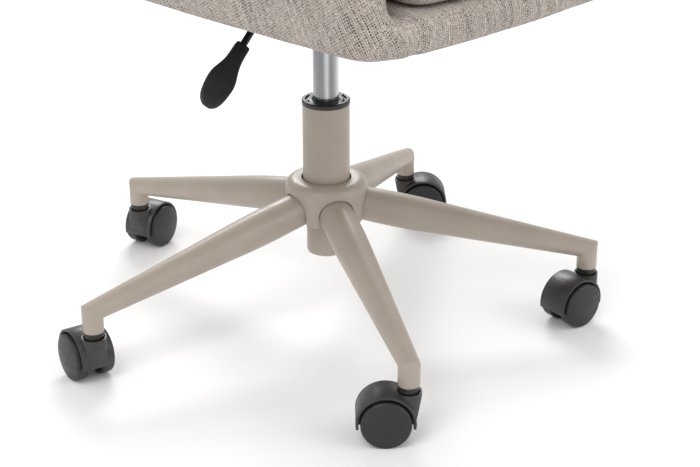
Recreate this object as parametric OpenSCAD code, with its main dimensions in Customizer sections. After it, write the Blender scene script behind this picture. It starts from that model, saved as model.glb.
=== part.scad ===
// Swivel tub chair: five-leg steel base on twin-wheel casters, gas lift and upholstered tub seat.
// Millimetres. The origin is on the floor on the column's axis, +Z is up and the sitter faces -Y.

/* [Base] */
// Distance from the column's axis to each caster stem
base_reach = 287; // [260:1:330]
// Turn of the first leg about the column
leg_turn = -120; // [-180:1:180]
// Radius of a leg's tube where it meets the hub
leg_root_r = 18.2; // [17:0.1:19]
// Radius that a leg swells towards, a little way out from the hub
leg_swell_r = 19.4; // [18.6:0.1:20.4]
// Radius of a leg's tube at its tip
leg_tip_r = 10.5; // [9:0.1:10.8]
// Height of a leg's middle line at the hub
leg_root_z = 135.5; // [128:0.5:136]
// Height of a leg's middle line at its tip
leg_tip_z = 81.6; // [78:0.2:84]
// Wall of a leg's tube
leg_wall = 1.8; // [1.2:0.1:2.5]
// Outside radius of the upright tip
tip_r = 11; // [11:0.1:14]
// Height of the tip's underside above the floor
tip_z = 60; // [58:0.5:64]
// Outside radius of the hub tube that the legs are welded to
hub_r = 30; // [29:0.5:32]
// Height of the hub tube's lower end
hub_z0 = 112; // [108:1:116]
// Height of the hub tube's upper end
hub_z1 = 158; // [150:1:160]
// Outside radius of the hub cover
cover_r = 44.8; // [42:0.2:52]
// Height of the hub cover's rim
cover_z0 = 120; // [116:1:124]
// Height of the hub cover's top
cover_z1 = 164.5; // [162:0.5:172]
// Rounding of the hub cover's shoulder
cover_round = 11; // [6:0.5:13]
// Wall of the hub cover
cover_wall = 2.4; // [1.6:0.1:3]
// Clearance between the hub cover and each leg
cover_gap = 1; // [0.6:0.1:2]

/* [Column] */
// Outside radius of the column tube
column_r = 25.4; // [24:0.1:28]
// Outside radius of the column below its taper
column_foot_r = 21.7; // [21:0.1:22.4]
// Wall of the column tube
column_wall = 1.5; // [1.2:0.1:1.8]
// Height of the column's lower end
column_z0 = 77.4; // [74:0.2:80]
// Height of the column's upper end
column_z1 = 248.2; // [235:0.2:256]
// Thickness of the guide bush's flange
bush_flange = 5.3; // [4:0.1:7]
// Length of the guide bush inside the tube
bush_length = 80; // [60:1:82]
// Radius of the gas cylinder
cylinder_r = 14; // [12.5:0.1:15]
// Wall of the gas cylinder
cylinder_wall = 2; // [1.5:0.1:2.5]
// Height of the gas cylinder's lower end with the lift extended
cylinder_z0 = 202; // [200:1:206]
// Travel of the gas lift
lift_travel = 100; // [80:1:101]
// Radius of the lift's piston rod
rod_r = 5; // [4:0.1:6]
// Radial clearance of every running fit
run_gap = 0.05; // [0.02:0.01:0.1]
// Diameter of the thrust bearing's balls
ball_d = 3; // [2:0.1:4]
// Number of balls in the thrust bearing
ball_count = 14; // [8:1:16]

/* [Casters] */
// Radius of a caster wheel
wheel_r = 25; // [22:0.5:26]
// Distance from the stem's axis back to the axle
trail = 22; // [18:0.5:24]
// Width over both wheels
caster_w = 48; // [44:0.5:54]
// Width of the hood's band over the wheels
hood_w = 35; // [32:0.5:38]
// Thickness of the web between the wheels
web_w = 15; // [14.6:0.1:16]
// Thickness of the hood's band
hood_wall = 2.5; // [2:0.1:3]
// Gap between a wheel and the hood around it
hood_gap = 2; // [1.5:0.1:3]
// Height of the hood's lower edge
hood_z0 = 19.5; // [17:0.5:20.5]
// Height of the boss's top
boss_z1 = 53; // [50:0.5:54]
// Radius of the boss around the stem
boss_r = 13; // [12.6:0.1:14]
// Radius of the caster stem
stem_r = 5.5; // [5:0.1:5.6]
// Radius of a caster's axle
axle_r = 3; // [2.5:0.1:4]
// Rest turn of each caster, the direction in which its wheels trail
caster_turns = [134, 172, -46, 14, 77]; // [-180:1:180]

/* [Seat mechanism] */
// Height of the seat board's underside
board_z0 = 408; // [400:1:416]
// Thickness of the seat board
board_t = 12; // [9:1:15]
// Thickness of the dust cover under the board
dust_t = 1.2; // [0.8:0.1:2]
// Thickness of the seat plate's flange
plate_t = 4; // [3:0.1:5]
// Width of the seat plate
plate_w = 190; // [160:1:220]
// Length of the seat plate, front to back
plate_l = 170; // [140:1:200]
// Spacing of the seat bolts across the plate
bolt_x = 160; // [130:1:166]
// Spacing of the seat bolts along the plate
bolt_y = 140; // [110:1:146]
// Width of the seat plate's channel
channel_w = 120; // [100:1:124]
// Length of the seat plate's channel, front to back
channel_l = 64; // [60:1:80]
// Depth of the channel below the flange
channel_h = 31; // [30:0.5:36]
// Sheet thickness of the channel
channel_t = 2.5; // [2:0.1:3]
// Length of the taper socket below the channel
socket_h = 12; // [8:1:13]
// Outside radius of the taper socket
socket_r = 19; // [18:0.2:21]

/* [Height lever] */
// Turn of the lever towards the front of the chair
lever_turn = 15; // [0:1:25]
// Radius of the lever's steel rod
lever_rod_r = 3.6; // [3:0.1:4]
// Distance from the column's axis to the lever's pivot
pivot_x = 30; // [24:1:36]
// Radius of the lever's pivot pin
pin_r = 3; // [2.5:0.1:3.5]
// Largest swing of the lever in degrees
lever_swing = 6; // [4:0.5:6]
// Distance from the column's axis to the bend in the rod
bend_x = 110; // [95:1:120]
// Slope of the inner part of the lever in degrees
root_slope = 4; // [2:0.5:5]
// Slope of the outer part of the lever in degrees
lever_slope = 31; // [20:1:40]
// Distance from the column's axis to the handle's tip
handle_tip_x = 231; // [215:1:245]
// Length of the handle
handle_l = 78; // [66:1:90]
// Width of the handle
handle_w = 28; // [22:0.5:34]
// Thickness of the handle
handle_t = 6; // [5:0.1:8]

/* [Tub seat] */
// Outside width of the tub at its foot
tub_w = 488; // [460:2:520]
// Thickness of the padded wall
wall_t = 42; // [38:1:50]
// Distance from the axis forward to the front of the arms at their foot
arm_front = 283; // [270:1:290]
// Distance from the axis forward to the front of the seat rail
rail_front = 299; // [295:1:310]
// Distance from the axis back to where the straight arms end
arm_back = 20; // [0:1:40]
// Distance from the axis back to the outside of the backrest at its foot
back_depth = 236; // [225:1:260]
// Radius of the seat rail's front corners
rail_corner_r = 48; // [30:1:60]
// Height of the seat rail's top
rail_z1 = 442; // [436:1:450]
// Height of the arms at the front
arm_z_front = 640; // [610:1:670]
// Height of the arms where the backrest starts
arm_z_back = 672; // [650:1:720]
// Height of the backrest's top
back_z = 850; // [800:1:900]
// Outward lean of the wall at the backrest's top
lean = 52; // [30:1:60]
// Backward slope of the arms' front ends at the same height
front_slope = 84; // [40:1:100]
// Thickness of the frame inside the wall
frame_t = 16; // [12:1:20]
// Padding over the frame's top edge
frame_cover = 14; // [12:1:20]
// Thickness of the seat cushion
cushion_h = 96; // [80:1:110]
// Distance from the axis forward to the cushion's front
cushion_front = 306; // [295:1:312]
// Gap between the cushion and the wall at its foot
cushion_gap = 13; // [10:0.5:20]

/* [Hidden] */
$fn = 48;
leg_count = 5;
touch_gap = 0.3;                       // clearance between pieces that move past each other
eps = 0.01;

// Base
leg_fall = (leg_root_z - leg_tip_z) / (base_reach - hub_r);
leg_slope = atan(leg_fall);
leg_length = (base_reach - hub_r) / cos(leg_slope);
leg_swell_x = 56;
leg_blend = 25;
leg_widen = (leg_swell_r - leg_root_r) / leg_swell_x;
leg_narrow = (leg_swell_r - leg_tip_r) / (leg_length - leg_swell_x);
sleeve_r = stem_r + 2.5;
sleeve_top = tip_z + 22;
sleeve_flange_t = 3.5;
stem_collar_z0 = boss_z1 + touch_gap;
stem_collar_z1 = tip_z - sleeve_flange_t;
stem_z0 = 30;
boss_z0 = 33;
boss_rim_t = 1.6;
boss_recess = 3;
boss_seat_r = 8;
boss_ribs = 8;
ring_t = 2;
groove_depth = 0.9;
snap_ring_r = stem_r + 0.8;
snap_gap = 0.3;

// Column
taper_z1 = cover_z1 + 0.5;
foot_wall_t = 3;
foot_recess = 3;
foot_floor_z = column_z0 + foot_recess;
race_t = 1.6;
lower_race_z = foot_floor_z + foot_wall_t;
ball_z = lower_race_z + race_t + run_gap + ball_d / 2;
upper_race_z = ball_z + ball_d / 2;
race_r = column_foot_r - column_wall - 1.2;
ball_ring_r = 13;
bump_z0 = upper_race_z + race_t;
bush_r = column_r - column_wall;
bump_h = cylinder_z0 - lift_travel - bump_z0 - touch_gap;
gland_h = 9;
piston_h = 10;
piston_z0 = cylinder_z0 + gland_h + 1;

// Seat mechanism
plate_z0 = board_z0 - dust_t - plate_t;
channel_z0 = plate_z0 - channel_h;
bolt_r = 3.2;
bolt_hole_r = 3.4;
bolt_head_h = 4;
washer_t = 1.2;
cylinder_z1 = channel_z0 + 15;
taper_drop = 0.7;
socket_z0 = channel_z0 - socket_h;
release_r = 4;
release_z1 = cylinder_z1 + 5;
valve_h = 22;
release_travel = pivot_x * lever_swing * PI / 180;
board_hole_r = 32;
board_inset = 20;
cover_inset = 24;

// Lever: heights are of the rod's middle line, and lever_z is that above the release pin
lever_z = release_z1 + touch_gap + lever_rod_r / cos(root_slope) + release_r * tan(root_slope);
lever_past = 8;
lever_bend_z = lever_z - bend_x * tan(root_slope);
pivot_z = lever_z - pivot_x * tan(root_slope);
neck_x = handle_tip_x - handle_l * cos(lever_slope);
neck_z = lever_bend_z - (neck_x - bend_x) * tan(lever_slope);
handle_socket = 20;
inner_l = (bend_x + lever_past) / cos(root_slope);
outer_l = (neck_x - bend_x) / cos(lever_slope) + handle_socket;
bend_swell = 0.4;
eye_r = 7;
eye_w = 12;
cheek_t = 2.5;
cheek_gap = 0.4;
handle_roll = -45;
neck_w = 16;

// Casters
axle_z = wheel_r;
pocket_r = wheel_r + hood_gap;
hood_r = pocket_r + hood_wall;
wheel_in = web_w / 2 + touch_gap;
wheel_out = caster_w / 2;
wheel_face_t = 3;
wheel_dome = 2.6;
wheel_edge_r = 2.4;
tyre_t = 3.2;
hub_boss_r = axle_r + 3;
axle_half = wheel_out - wheel_face_t - 1;

// Tub
half_w = tub_w / 2;
mid_w = half_w - wall_t / 2;
mid_back = back_depth - wall_t / 2 - arm_back;
lean_h = back_z - board_z0;
arc_steps = 24;
arm_steps = 5;
cap_angles = [72, 48, 24, 0];
crown = 1.2;                           // above 1 the backrest's top is level for a stretch
cushion_z0 = rail_z1 + touch_gap;

paint = [0.63, 0.59, 0.55];
black_plastic = [0.13, 0.13, 0.13];
grey_plastic = [0.24, 0.24, 0.25];
zinc = [0.75, 0.75, 0.77];
fabric = [0.70, 0.66, 0.62];

function clamp01(v) = min(1, max(0, v));
function smooth(v) = v * v * (3 - 2 * v);

// ---------- base ----------

module at_leg(i) {
    rotate([0, 0, leg_turn + i * 360 / leg_count]) children();
}

module at_tip(i) {
    at_leg(i) translate([base_reach, 0, 0]) children();
}

// Places children on a leg's middle line: X runs out along the leg from the hub's surface
module on_leg_line() {
    translate([hub_r, 0, leg_root_z]) rotate([0, leg_slope, 0]) children();
}

// A leg's radius at x out from the hub's surface: a rise and a longer fall, blended where they meet
function leg_r(x) = let (d = x - leg_swell_x)
    d < -leg_blend ? leg_swell_r + leg_widen * d
    : d > leg_blend ? leg_swell_r - leg_narrow * d
    : leg_swell_r + (leg_widen - leg_narrow) / 2 * d
        - (leg_widen + leg_narrow) * (d * d + leg_blend * leg_blend) / (4 * leg_blend);

// The swelling round bar that a leg's tube is drawn on, longer than the leg by `before` and `after`
module leg_bar(grow, before, after) {
    bends = [for (k = [-4:4]) leg_swell_x + leg_blend * k / 4];
    stops = concat([-before], bends, [leg_length + after]);
    on_leg_line() rotate([0, 90, 0]) rotate_extrude() polygon(concat(
        [[0, -before]], [for (x = stops) [leg_r(x) + grow, x]], [[0, leg_length + after]]));
}

module leg_wedge() {
    half = 180 / leg_count;
    shift = touch_gap / 2 / sin(half);
    far = base_reach + 60;
    linear_extrude(200) polygon([
        [shift, 0], [far, (far - shift) * tan(half)], [far, -(far - shift) * tan(half)]]);
}

// Everything below a leg's middle line
module below_leg_line() {
    on_leg_line() translate([0, -100, -200]) cube([500, 200, 200]);
}

module tip_outer() {
    intersection() {
        translate([base_reach, 0, tip_z]) cylinder(h = 60, r = tip_r);
        union() {
            below_leg_line();
            leg_bar(0, 0, 30);
        }
    }
}

module tip_block() {
    translate([base_reach, 0, tip_z]) cylinder(h = sleeve_top - tip_z + 2.5, r = tip_r - 1);
}

module leg(i) {
    color(paint) at_leg(i) difference() {
        union() {
            difference() {
                intersection() {
                    leg_bar(0, 10, 0);
                    leg_wedge();
                }
                leg_bar(-leg_wall, 12, -20);
            }
            tip_outer();
        }
        cylinder(h = 200, r = hub_r);
        translate([base_reach, 0, tip_z - 1]) cylinder(h = sleeve_top - tip_z + 1, r = sleeve_r);
    }
}

function taper_r(z) = column_foot_r
    + (column_r - column_foot_r) * clamp01((z - hub_z0) / (taper_z1 - hub_z0));

module hub_tube() {
    neck_h = 6;
    color(paint) rotate_extrude($fn = 96) polygon([
        [taper_r(hub_z0), hub_z0], [taper_r(hub_z0) + 1.8, hub_z0],
        [taper_r(hub_z0 + neck_h) + 3, hub_z0 + neck_h], [hub_r, hub_z0 + neck_h],
        [hub_r, hub_z1], [taper_r(hub_z1), hub_z1]]);
}

// Half section of a lid with a rounded shoulder
module lid_section(r_out, z_bottom, z_top, round_r, draft) {
    polygon(concat(
        [[0, z_bottom], [r_out - draft, z_bottom]],
        [for (a = [0:10:90]) [r_out - round_r + round_r * cos(a), z_top - round_r + round_r * sin(a)]],
        [[0, z_top]]));
}

module hub_cover() {
    hole_r = column_r + 1.8;
    color(paint) difference() {
        rotate_extrude($fn = 96) difference() {
            union() {
                difference() {
                    lid_section(cover_r, cover_z0, cover_z1, cover_round, 1.3);
                    lid_section(cover_r - cover_wall, cover_z0 - 1, cover_z1 - cover_wall,
                                cover_round - cover_wall, 1.3);
                }
                translate([0, hub_z1]) square([hub_r, cover_z1 - hub_z1 - cover_wall + eps]);
            }
            translate([0, cover_z0 - 1]) square([hole_r, cover_z1]);
        }
        for (i = [0:leg_count - 1]) at_leg(i) {
            leg_bar(cover_gap, 0, 0);
            half = leg_r(cover_r - hub_r) + cover_gap;
            translate([hub_r, -half, cover_z0 - 5])
                cube([30, 2 * half, leg_root_z - leg_fall * (cover_r - hub_r) - cover_z0 + 5]);
        }
    }
}

module column_tube() {
    bore = column_foot_r - column_wall;
    color(paint) rotate_extrude($fn = 96) polygon([
        [bore, foot_floor_z + foot_wall_t], [rod_r + run_gap, foot_floor_z + foot_wall_t],
        [rod_r + run_gap, foot_floor_z], [bore - 2, foot_floor_z], [bore - 2, column_z0],
        [column_foot_r - 2.5, column_z0], [column_foot_r - 0.7, column_z0 + 0.8],
        [column_foot_r, column_z0 + 3],
        [column_foot_r, hub_z0], [column_r, taper_z1], [column_r, column_z1],
        [bush_r, column_z1], [bush_r, taper_z1], [bore, hub_z0]]);
}

module column_bush() {
    slot_r = 19.5;
    slot_w = 2.4;
    color(black_plastic) difference() {
        rotate_extrude($fn = 96) polygon([
            [cylinder_r + run_gap, column_z1 - bush_length], [bush_r, column_z1 - bush_length],
            [bush_r, column_z1], [column_r + 0.6, column_z1],
            [column_r + 0.6, column_z1 + bush_flange - 1],
            [column_r - 0.4, column_z1 + bush_flange],
            [cylinder_r + 1.2, column_z1 + bush_flange],
            [cylinder_r + run_gap, column_z1 + bush_flange - 1]]);
        for (a = [0:90:270]) rotate([0, 0, a + 12]) translate([0, 0, column_z1 + bush_flange - 2])
            rotate_extrude(angle = 66, $fn = 96) translate([slot_r, 0]) square([slot_w, 5]);
    }
}

module race(z) {
    rotate_extrude($fn = 72) translate([rod_r + 0.6, z])
        square([race_r - rod_r - 0.6, race_t]);
}

module bearing_race_lower() {
    color(zinc) race(lower_race_z);
}

module stem_sleeves() {
    color(black_plastic) for (i = [0:leg_count - 1]) at_tip(i)
        rotate_extrude() polygon([
            [stem_r, tip_z - sleeve_flange_t], [tip_r - 0.5, tip_z - sleeve_flange_t],
            [tip_r - 0.3, tip_z], [sleeve_r, tip_z], [sleeve_r, sleeve_top], [stem_r, sleeve_top]]);
}

stem_grooves = [[stem_z0 + 1, stem_z0 + 1 + ring_t], [sleeve_top - 5, sleeve_top - 5 + ring_t]];

module caster_stems() {
    color(zinc) for (i = [0:leg_count - 1]) at_tip(i) difference() {
        union() {
            translate([0, 0, stem_z0]) cylinder(h = sleeve_top - 1 - stem_z0, r = stem_r);
            translate([0, 0, stem_collar_z0])
                cylinder(h = stem_collar_z1 - stem_collar_z0, r = tip_r - 0.7);
        }
        for (g = stem_grooves) translate([0, 0, g[0]]) difference() {
            cylinder(h = g[1] - g[0], r = stem_r + 1);
            translate([0, 0, -1]) cylinder(h = ring_t + 2, r = stem_r - groove_depth);
        }
    }
}

// A split ring in each groove: the lower one holds the hood on, the upper one grips the sleeve
module stem_rings() {
    color(zinc) for (i = [0:leg_count - 1]) at_tip(i)
        for (k = [0:1]) translate([0, 0, stem_grooves[k][0] + eps]) rotate([0, 0, 200])
            rotate_extrude(angle = 320) translate([stem_r - groove_depth, 0])
                square([(k == 0 ? snap_ring_r : stem_r) - stem_r + groove_depth,
                        ring_t - (k == 0 ? 0.3 : 2 * eps)]);
}

// ---------- lift rod ----------

module piston_rod() {
    color(zinc) difference() {
        translate([0, 0, column_z0 + 0.6]) cylinder(h = piston_z0 + piston_h + 4 - column_z0, r = rod_r);
        translate([0, 0, foot_floor_z - 1.8]) difference() {
            cylinder(h = 1.5, r = rod_r + 1);
            translate([0, 0, -1]) cylinder(h = 4, r = rod_r - 1);
        }
    }
}

module piston_head() {
    color(zinc) translate([0, 0, piston_z0]) difference() {
        cylinder(h = piston_h, r = cylinder_r - cylinder_wall - run_gap);
        translate([0, 0, -1]) cylinder(h = piston_h + 2, r = rod_r);
        translate([0, 0, piston_h / 2 - 1.5]) difference() {
            cylinder(h = 3, r = cylinder_r);
            translate([0, 0, -1]) cylinder(h = 5, r = cylinder_r - cylinder_wall - 1.5);
        }
    }
}

module rod_clip() {
    color(zinc) translate([0, 0, foot_floor_z - 1.7]) rotate([0, 0, 30])
        rotate_extrude(angle = 300) translate([rod_r - 1, 0]) square([5, 1.2]);
}

module bump_stop() {
    color(black_plastic) difference() {
        translate([0, 0, bump_z0]) cylinder(h = bump_h, r = 12);
        translate([0, 0, bump_z0 - 1]) cylinder(h = bump_h + 2, r = rod_r);
    }
}

module bearing_balls() {
    color(zinc) for (a = [0:360 / ball_count:359]) rotate([0, 0, a])
        translate([ball_ring_r, 0, ball_z]) sphere(r = ball_d / 2);
}

module bearing_race_upper() {
    color(zinc) race(upper_race_z);
}

// ---------- seat mechanism ----------

module gas_cylinder() {
    inner_r = cylinder_r - cylinder_wall;
    color(zinc) rotate_extrude($fn = 96) polygon([
        [inner_r, cylinder_z0], [cylinder_r, cylinder_z0], [cylinder_r, socket_z0],
        [cylinder_r - taper_drop, cylinder_z1 - 0.6], [cylinder_r - taper_drop - 0.6, cylinder_z1],
        [release_r + run_gap, cylinder_z1], [release_r + run_gap, cylinder_z1 - valve_h],
        [inner_r, cylinder_z1 - valve_h]]);
}

module cylinder_gland() {
    color(black_plastic) translate([0, 0, cylinder_z0]) difference() {
        cylinder(h = gland_h, r = cylinder_r - cylinder_wall);
        translate([0, 0, -1]) cylinder(h = gland_h + 2, r = rod_r + run_gap);
    }
}

module taper_socket() {
    top = cylinder_z1 - 2;
    slope = taper_drop / (cylinder_z1 - 0.6 - socket_z0);
    color(zinc) rotate_extrude($fn = 96) polygon([
        [cylinder_r, socket_z0], [socket_r - 1, socket_z0], [socket_r, socket_z0 + 1],
        [socket_r, top], [cylinder_r - slope * (top - socket_z0), top]]);
}

module bolt_spots() {
    for (sx = [-1, 1], sy = [-1, 1])
        translate([sx * bolt_x / 2, sy * bolt_y / 2, 0]) children();
}

module rounded_slab(w, l, h, r) {
    for (d = [[w - 2 * r, l], [w, l - 2 * r]])
        translate([-d[0] / 2, -d[1] / 2, 0]) cube([d[0], d[1], h]);
    for (sx = [-1, 1], sy = [-1, 1])
        translate([sx * (w / 2 - r), sy * (l / 2 - r), 0]) cylinder(h = h, r = r);
}

module seat_plate() {
    slot_w = 22;
    color(grey_plastic) difference() {
        union() {
            translate([0, 0, plate_z0]) rounded_slab(plate_w, plate_l, plate_t, 14);
            translate([0, 0, channel_z0]) rounded_slab(channel_w, channel_l, channel_h, 6);
        }
        translate([0, 0, channel_z0 + channel_t])
            rounded_slab(channel_w - 2 * channel_t, channel_l - 2 * channel_t, channel_h + plate_t, 4);
        translate([0, 0, channel_z0 - 1]) cylinder(h = 10, r = socket_r);
        bolt_spots() translate([0, 0, plate_z0 - 1]) cylinder(h = plate_t + 2, r = bolt_hole_r);
        rotate([0, 0, lever_turn]) translate([-channel_w / 2 - 12, -slot_w / 2, pivot_z - 10])
            cube([24, slot_w, 18]);
    }
}

// Lever frame: X runs back from the handle towards the axis, the handle points to -X
module at_lever() {
    rotate([0, 0, lever_turn]) children();
}

module lever_bracket() {
    foot_z = channel_z0 + channel_t;
    cheek_y = eye_w / 2 + cheek_gap;
    color(zinc) at_lever() difference() {
        union() {
            for (s = [-1, 1]) translate([-pivot_x - 8, s > 0 ? cheek_y : -cheek_y - cheek_t, foot_z])
                cube([16, cheek_t, pivot_z - foot_z + 7]);
            translate([-pivot_x - 8, -cheek_y - cheek_t, foot_z])
                cube([16, 2 * (cheek_y + cheek_t), 2]);
        }
        translate([-pivot_x, 30, pivot_z]) rotate([90, 0, 0]) cylinder(h = 60, r = pin_r);
    }
}

module lever_pin() {
    half = eye_w / 2 + cheek_gap + cheek_t;
    color(zinc) at_lever() translate([-pivot_x, 0, pivot_z]) rotate([90, 0, 0]) union() {
        translate([0, 0, -half - 1]) cylinder(h = 2 * half + 1, r = pin_r);
        translate([0, 0, half]) cylinder(h = 1.6, r = pin_r + 1.6);
    }
}

module seat_bolts() {
    head_z = plate_z0 - washer_t;
    color(zinc) bolt_spots() difference() {
        union() {
            translate([0, 0, head_z]) cylinder(h = board_z0 + board_t - head_z, r = bolt_r);
            translate([0, 0, head_z - bolt_head_h]) cylinder(h = bolt_head_h, r = 5.6);
        }
        translate([0, 0, head_z - bolt_head_h - 1]) cylinder(h = 3.4, r = 2.9, $fn = 6);
    }
}

module bolt_washers() {
    color(zinc) bolt_spots() translate([0, 0, plate_z0 - washer_t]) difference() {
        cylinder(h = washer_t, r = 8);
        translate([0, 0, -1]) cylinder(h = washer_t + 2, r = bolt_r + 0.2);
    }
}

module tee_nuts() {
    color(zinc) bolt_spots() translate([0, 0, board_z0 + 1]) difference() {
        union() {
            cylinder(h = board_t - 1, r = 4.4);
            translate([0, 0, board_t - 1]) cylinder(h = 1.2, r = 9);
        }
        translate([0, 0, -1]) cylinder(h = board_t + 3, r = bolt_r);
    }
}

// ---------- seat board, dust cover and rail ----------

// Outline of the space inside the wall, at a distance from the wall's inner face
function inside_outline(front, gap) = let (w = half_w - wall_t - gap, d = mid_back - wall_t / 2 - gap)
    concat([[w, -front]],
           [for (k = [0:36]) [w * cos(k * 5), arm_back + d * sin(k * 5)]],
           [[-w, -front]]);

module board_outline(front, gap) {
    polygon(inside_outline(front, gap));
}

module seat_board() {
    color([0.76, 0.62, 0.44]) difference() {
        translate([0, 0, board_z0]) linear_extrude(board_t)
            board_outline(rail_front - board_inset, board_inset);
        translate([0, 0, board_z0 - 1]) cylinder(h = board_t + 2, r = board_hole_r);
        bolt_spots() translate([0, 0, board_z0 - 1]) {
            cylinder(h = board_t + 2, r = 4.4);
            cylinder(h = 2, r = 4.4);
        }
    }
}

module dust_cover() {
    color([0.1, 0.1, 0.1]) difference() {
        translate([0, 0, board_z0 - dust_t]) linear_extrude(dust_t)
            board_outline(rail_front - cover_inset, cover_inset);
        translate([0, 0, board_z0 - dust_t - 1]) cylinder(h = dust_t + 2, r = board_hole_r);
        bolt_spots() translate([0, 0, board_z0 - dust_t - 1]) cylinder(h = dust_t + 2, r = bolt_hole_r);
    }
}

// Upholstered deck between the arms, with the full-width rail across the front
module seat_rail() {
    strip_back = arm_front + touch_gap;
    color(fabric) difference() {
        union() {
            translate([0, 0, board_z0]) linear_extrude(rail_z1 - board_z0)
                board_outline(rail_front - 2, touch_gap);
            intersection() {
                translate([0, -rail_front + half_w, board_z0])
                    rounded_slab(tub_w, tub_w, rail_z1 - board_z0, rail_corner_r);
                translate([-half_w, -rail_front - 1, board_z0])
                    cube([tub_w, rail_front - strip_back + 1, rail_z1 - board_z0]);
            }
        }
        translate([0, 0, board_z0 - 1]) linear_extrude(board_t + 1)
            board_outline(rail_front - board_inset, board_inset);
        bolt_spots() translate([0, 0, board_z0]) cylinder(h = board_t + 2, r = 10);
    }
}

// ---------- tub ----------

// A station is [kind, along, thickness share, forward share]: kind -1 and 1 are the arms, 0 the back
stations = concat(
    [for (a = cap_angles) [-1, 0, cos(a), sin(a)]],
    [for (i = [1:arm_steps]) [-1, i / arm_steps, 1, 0]],
    [for (i = [1:arc_steps - 1]) [0, i / arc_steps, 1, 0]],
    [for (i = [arm_steps:-1:1]) [1, i / arm_steps, 1, 0]],
    [for (k = [len(cap_angles) - 1:-1:0]) [1, 0, cos(cap_angles[k]), sin(cap_angles[k])]]);

function lean_share(z) = (z - board_z0) / lean_h;

// Top of the wall at a station
function top_z(st) = st[0] == 0
    ? arm_z_back + (back_z - arm_z_back) * smooth(min(1, crown * (1 - abs(2 * st[1] - 1))))
    : arm_z_front + (arm_z_back - arm_z_front) * pow(st[1], 1.5)
      - 26 * pow(1 - clamp01(st[1] * 4), 2) - 12 * st[3];

// Unit vector out of the wall, in plan
function out_dir(st) = st[0] != 0 ? [st[0], 0]
    : let (a = 180 * (1 - st[1]), v = [cos(a) / mid_w, sin(a) / mid_back]) v / norm(v);

// Middle line of the wall, in plan, at a height
function mid_point(st, z, t, inset) = st[0] == 0
    ? let (a = 180 * (1 - st[1])) [mid_w * cos(a), arm_back + mid_back * sin(a)]
    : let (y0 = -arm_front + inset + t / 2 * (1 - st[3]) + front_slope * pow(max(0, lean_share(z)), 1.5))
      [st[0] * mid_w, y0 + (arm_back - y0) * st[1]];

// Points round the wall's section as [offset share, height]: up the outside and down the inside
function section(top, t, foot) = concat(
    [[0.7, foot], [1, foot + 10]],
    [for (k = [1:3]) [1, foot + 10 + (top - t / 2 - foot - 10) * k / 4]],
    [for (a = [0:30:180]) [cos(a), top - t / 2 + t / 2 * sin(a)]],
    [for (k = [3:-1:1]) [-1, foot + 10 + (top - t / 2 - foot - 10) * k / 4]],
    [[-1, foot + 10], [-0.7, foot]]);

function wall_ring(st, t, foot, cover, inset) = [
    for (p = section(top_z(st) - cover, t, foot))
        let (m = mid_point(st, p[1], t, inset),
             o = out_dir(st) * (p[0] * t / 2 * st[2] + lean * lean_share(p[1])))
        [m[0] + o[0], m[1] + o[1], p[1]]];

function mean(points) = [for (k = [0:2]) [for (p = points) p[k]] * [for (p = points) 1] / len(points)];

// Faces between the rows of points of consecutive stations; `rows` is the points a station has,
// and the strip covers `count` of them from `first` on
function strip(rows, first, count, flip) = [
    for (i = [0:len(stations) - 2], j = [0:count - 2])
        let (a = i * rows + first + j, b = a + 1, c = a + rows, d = c + 1)
        each (flip ? [[a, b, d], [a, d, c]] : [[a, d, b], [a, c, d]])];

// Fan that closes a ring at one end, from its middle point
function fan(centre, start, count, flip) = [
    for (j = [0:count - 1]) let (a = start + j, b = start + (j + 1) % count)
        flip ? [centre, b, a] : [centre, a, b]];

// Frame of the wall, closed all round
module frame_solid() {
    rings = [for (st = stations) wall_ring(st, frame_t, board_z0, frame_cover, frame_cover)];
    n = len(rings);
    m = len(rings[0]);
    closed = [for (i = [0:n - 2]) let (a = i * m + m - 1, b = i * m)
        each [[a, b + m, b], [a, a + m, b + m]]];
    polyhedron(
        points = concat([for (r = rings) each r], [mean(rings[0]), mean(rings[n - 1])]),
        faces = concat(strip(m, 0, m, false), closed,
                       fan(n * m, 0, m, false), fan(n * m + 1, (n - 1) * m, m, true)));
}

// Padding of the wall: a channel over the frame, open underneath
module padding_solid() {
    outer = [for (st = stations) wall_ring(st, wall_t, board_z0, 0, 0)];
    inner = [for (st = stations) wall_ring(st, frame_t, board_z0, frame_cover, frame_cover)];
    n = len(stations);
    m = len(outer[0]);
    rows = 2 * m;
    last = (n - 1) * rows;
    feet = [for (i = [0:n - 2]) let (a = i * rows, b = a + m, c = b - 1, d = b + m - 1)
        each [[a, b + rows, a + rows], [a, b, b + rows],
              [c, c + rows, d + rows], [c, d + rows, d]]];
    ends = [[0, 2 * m - 1, m], [0, m - 1, 2 * m - 1],
            [last, last + m, last + 2 * m - 1], [last, last + 2 * m - 1, last + m - 1]];
    polyhedron(
        points = concat([for (i = [0:n - 1]) each concat(outer[i], inner[i])],
                        [mean(outer[0]), mean(outer[n - 1]), mean(inner[0]), mean(inner[n - 1])]),
        faces = concat(strip(rows, 0, m, false), strip(rows, m, m, true), feet, ends,
                       fan(n * rows, 0, m, false), fan(n * rows + 1, last, m, true),
                       fan(n * rows + 2, m, m, true), fan(n * rows + 3, last + m, m, false)));
}

module tub_frame() {
    color([0.76, 0.62, 0.44]) frame_solid();
}

module tub_upholstery() {
    color(fabric) padding_solid();
}

module cushion_slab(inset, z0, z1) {
    translate([0, 0, z0]) linear_extrude(z1 - z0)
        polygon(inside_outline(cushion_front - inset, cushion_gap + inset));
}

module seat_cushion() {
    edge = 12;
    color([0.74, 0.71, 0.67]) union() {
        cushion_slab(edge, cushion_z0, cushion_z0 + edge);
        cushion_slab(0, cushion_z0 + edge, cushion_z0 + cushion_h - edge);
        cushion_slab(edge, cushion_z0 + cushion_h - edge, cushion_z0 + cushion_h);
    }
}

// ---------- lever ----------

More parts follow.
